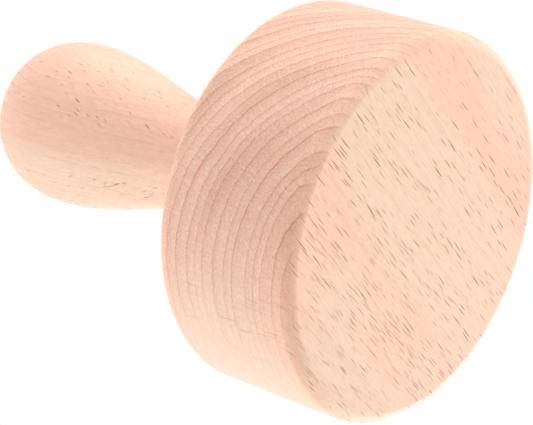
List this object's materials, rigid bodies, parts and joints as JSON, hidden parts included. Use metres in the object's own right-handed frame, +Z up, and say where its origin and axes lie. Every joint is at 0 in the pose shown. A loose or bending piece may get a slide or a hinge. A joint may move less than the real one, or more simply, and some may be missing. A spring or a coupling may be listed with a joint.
{
  "type": "muddler",
  "caption": "Wide-faced turned beech muddler: a thick round pressing disc with a bulb-ended palm handle dowelled and glued to its back.",
  "frame": {"origin": "centre of the pressing face, which the muddler stands on", "axes": "+Z up the turning axis, from the pressing face to the end of the handle; +X along the grain of the head's board, out of its end grain; +Y across that grain"},
  "size_m": [0.09, 0.09, 0.125],
  "materials": {
    "head_beech": "satin",
    "handle_beech": "satin",
    "dowel_beech": "matte"
  },
  "bodies": {
    "root": {"pressing_head": "head_beech", "handle": "handle_beech", "dowel_pin": "dowel_beech"}
  },
  "joints": []
}
